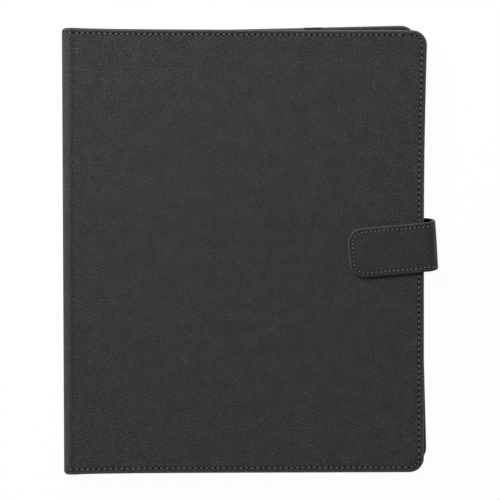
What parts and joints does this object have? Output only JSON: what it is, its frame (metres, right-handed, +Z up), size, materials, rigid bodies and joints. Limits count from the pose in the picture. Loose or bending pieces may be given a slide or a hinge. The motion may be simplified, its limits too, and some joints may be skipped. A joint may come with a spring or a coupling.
{
  "type": "music folder",
  "caption": "Closed A4 leatherette folder for sheet music, with stiff covers, a rounded spine, inner pockets, an elastic band and a magnetic closure strap.",
  "frame": {"origin": "under the middle of the closed folder, on the surface that it lies on", "axes": "+Z up, out of the front cover; +Y towards the folder's top edge; +X towards the closure strap, away from the spine"},
  "size_m": [0.2688, 0.321, 0.0233],
  "materials": {
    "leatherette": "matte",
    "lining": "matte",
    "board": "matte",
    "elastic": "matte",
    "magnet": "satin"
  },
  "bodies": {
    "back_cover": {"back_skin": "leatherette", "back_board": "board", "back_lining": "lining", "back_pocket": "lining", "sheet_band": "elastic", "strap_loop": "leatherette"},
    "spine": {"spine_skin": "leatherette", "spine_board": "board", "spine_lining": "lining"},
    "front_cover": {"front_skin": "leatherette", "front_board": "board", "front_lining": "lining", "front_pocket": "lining", "cover_magnet": "magnet"},
    "strap": {"strap_face": "leatherette", "strap_core": "board", "strap_backing": "leatherette", "strap_magnet": "magnet"}
  },
  "joints": [
    {"name": "spine_fold", "type": "hinge", "parent": "back_cover", "child": "spine", "pos_m": [-0.13129, -0.002, 0.00225], "axis": [0.0131, -0.9999, 0], "range_deg": [0, 90]},
    {"name": "cover_fold", "type": "hinge", "parent": "spine", "child": "front_cover", "pos_m": [-0.13129, -0.002, 0.01775], "axis": [0.0131, -0.9999, 0], "range_deg": [0, 90]},
    {"name": "strap_hinge", "type": "hinge", "parent": "back_cover", "child": "strap", "pos_m": [0.1325, 0, 0.01333], "axis": [-0.0576, 0.9983, 0], "range_deg": [0, 180], "deforming": ["strap_loop"]}
  ]
}
